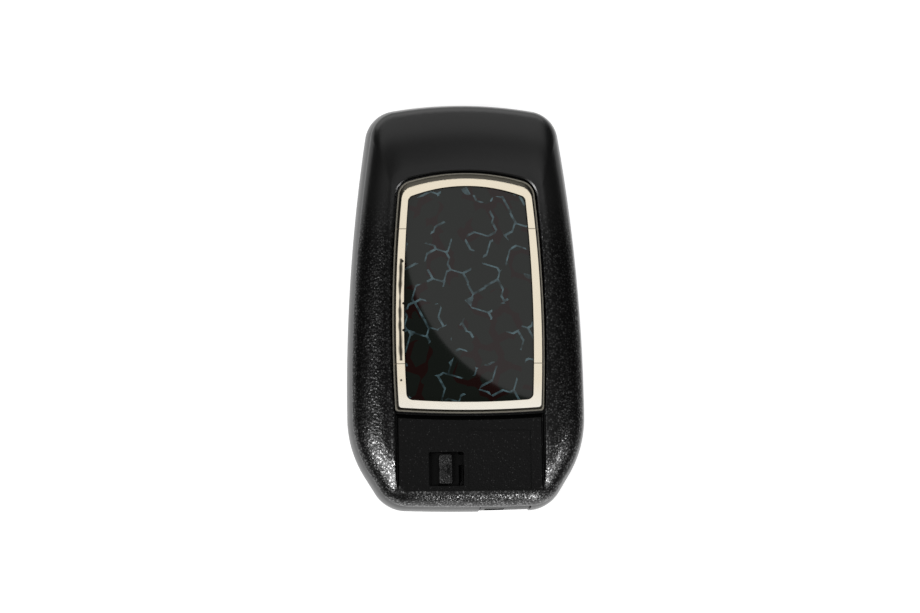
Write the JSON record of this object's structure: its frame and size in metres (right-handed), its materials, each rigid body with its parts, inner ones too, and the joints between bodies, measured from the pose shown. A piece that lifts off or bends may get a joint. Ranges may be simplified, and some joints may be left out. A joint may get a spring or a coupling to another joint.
{
  "type": "car key fob",
  "caption": "Smart key fob with a crowned grained back, a framed printed window, a release slider, push buttons and a pull-out emergency key with a ring hole.",
  "frame": {"origin": "middle of the fob's outline at the height of the surface that it lies on", "axes": "+X across the fob, +Y along it towards its narrow end, +Z from the button side to the back"},
  "size_m": [0.0462, 0.0794, 0.014],
  "materials": {
    "grained_black_plastic": "moulded leather grain",
    "smooth_black_plastic": "fine satin",
    "gloss_black_plastic": "gloss",
    "bright_plating": "polished warm chrome",
    "window_plate": "polished clear plate",
    "window_sheet": "printed sheet",
    "double_sided_tape": "thin foam tape",
    "button_plastic": "satin",
    "silicone_pad": "soft satin",
    "module_plastic": "satin",
    "seal_rubber": "soft",
    "board_laminate": "solder mask",
    "chip_epoxy": "moulded",
    "ferrite": "sintered",
    "copper_wire": "enamelled",
    "bright_steel": "bright",
    "plated_steel": "nickel plated",
    "spring_contact": "plated",
    "clear_plastic": "clear moulded",
    "led_package": "moulded",
    "capacitor_body": "sintered"
  },
  "bodies": {
    "fob": {"back_cover": "grained_black_plastic", "window_carrier": "gloss_black_plastic", "carrier_tape": "double_sided_tape", "window_frame": "bright_plating", "window_glass": "window_plate", "window_print": "window_sheet", "front_cover": "smooth_black_plastic", "button_panel": "gloss_black_plastic", "keypad_membrane": "silicone_pad", "light_guide": "clear_plastic", "module_case": "module_plastic", "module_gasket": "seal_rubber", "module_cover": "module_plastic", "module_screws": "plated_steel", "circuit_board": "board_laminate", "lock_switch": "plated_steel", "unlock_switch": "plated_steel", "trunk_switch": "plated_steel", "indicator_led": "led_package", "controller_chip": "chip_epoxy", "transponder_chip": "chip_epoxy", "crystal": "plated_steel", "chip_capacitors": "capacitor_body", "antenna_core": "ferrite", "antenna_winding": "copper_wire", "coin_cell": "bright_steel", "negative_contact": "spring_contact", "positive_contact": "spring_contact", "blade_guide": "module_plastic", "slider_spring": "bright_steel", "slider_retainer": "smooth_black_plastic", "retainer_screws": "plated_steel"},
    "slider": {"release_slider": "smooth_black_plastic"},
    "emergency_key": {"key_head": "smooth_black_plastic", "key_blade": "plated_steel", "head_pin": "bright_steel"},
    "lock_cap": {"lock_button": "button_plastic"},
    "unlock_cap": {"unlock_button": "button_plastic"},
    "trunk_cap": {"trunk_button": "button_plastic"}
  },
  "joints": [
    {"name": "release_slide", "type": "slide", "parent": "fob", "child": "slider", "axis": [-1, 0, 0], "range_m": [0, 0.0014], "stiffness_N_per_m": 300, "springref_m": -0.002, "deforming": ["slider_spring"]},
    {"name": "key_pull", "type": "slide", "parent": "fob", "child": "emergency_key", "axis": [0, -1, 0], "range_m": [0, 0.056]},
    {"name": "lock_press", "type": "slide", "parent": "fob", "child": "lock_cap", "axis": [0, 0, 1], "range_m": [0, 0.00055], "stiffness_N_per_m": 3000, "deforming": ["keypad_membrane"]},
    {"name": "unlock_press", "type": "slide", "parent": "fob", "child": "unlock_cap", "axis": [0, 0, 1], "range_m": [0, 0.00055], "stiffness_N_per_m": 3000, "deforming": ["keypad_membrane"]},
    {"name": "trunk_press", "type": "slide", "parent": "fob", "child": "trunk_cap", "axis": [0, 0, 1], "range_m": [0, 0.00055], "stiffness_N_per_m": 3000, "deforming": ["keypad_membrane"]}
  ]
}
